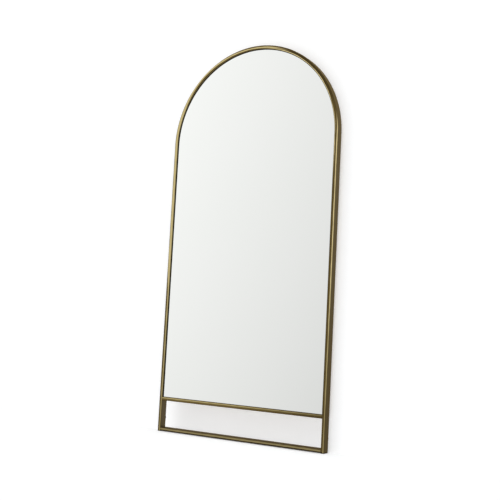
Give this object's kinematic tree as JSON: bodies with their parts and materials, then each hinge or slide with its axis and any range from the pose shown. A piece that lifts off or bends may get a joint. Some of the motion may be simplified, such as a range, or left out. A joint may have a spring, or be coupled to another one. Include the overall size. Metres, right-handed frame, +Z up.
{
  "type": "floor mirror",
  "caption": "Tall arched floor mirror in a slim antique-brass tube frame, with an open slot under the glass and swinging hanging rings at the rear.",
  "frame": {"origin": "on the floor, in the middle of the width and of the depth over the rear bumpers", "axes": "+X across the mirror to the right as seen from the front, +Y from the glass to the rear, +Z up"},
  "size_m": [0.864, 0.0442, 1.7779],
  "materials": {
    "antique_brass": "antique brass, satin, darker at the edges",
    "dark_bronze": "dark bronze patina",
    "silvered_glass": "silvered float glass",
    "fibreboard": "raw fibreboard",
    "card": "corrugated card",
    "black_rubber": "matt",
    "zinc_steel": "zinc plated",
    "black_nylon": "matt"
  },
  "bodies": {
    "frame": {"arch_tube": "antique_brass", "left_stile": "antique_brass", "right_stile": "antique_brass", "crossbar": "antique_brass", "bottom_rail": "antique_brass", "left_hanger_tab": "antique_brass", "right_hanger_tab": "antique_brass", "arch_lip": "dark_bronze", "left_lip": "dark_bronze", "right_lip": "dark_bronze", "mirror_glass": "silvered_glass", "backing_board": "fibreboard", "card_liner": "card", "setting_pads": "black_rubber", "side_pads": "black_rubber", "wall_bumpers": "black_rubber", "joint_sleeves": "zinc_steel", "retaining_clips": "zinc_steel", "clip_screws": "zinc_steel", "hanger_bolts": "zinc_steel", "hanger_nuts": "zinc_steel", "left_hanger_strap": "zinc_steel", "right_hanger_strap": "zinc_steel", "left_foot_glide": "black_nylon", "right_foot_glide": "black_nylon"},
    "left_ring": {"left_d_ring": "zinc_steel"},
    "right_ring": {"right_d_ring": "zinc_steel"}
  },
  "joints": [
    {"name": "left_ring_swing", "type": "hinge", "parent": "frame", "child": "left_ring", "pos_m": [-0.4031, 0.0172, 1.17], "axis": [1, 0, 0], "range_deg": [0, 180]},
    {"name": "right_ring_swing", "type": "hinge", "parent": "frame", "child": "right_ring", "pos_m": [0.4031, 0.0172, 1.17], "axis": [1, 0, 0], "range_deg": [0, 180]}
  ]
}
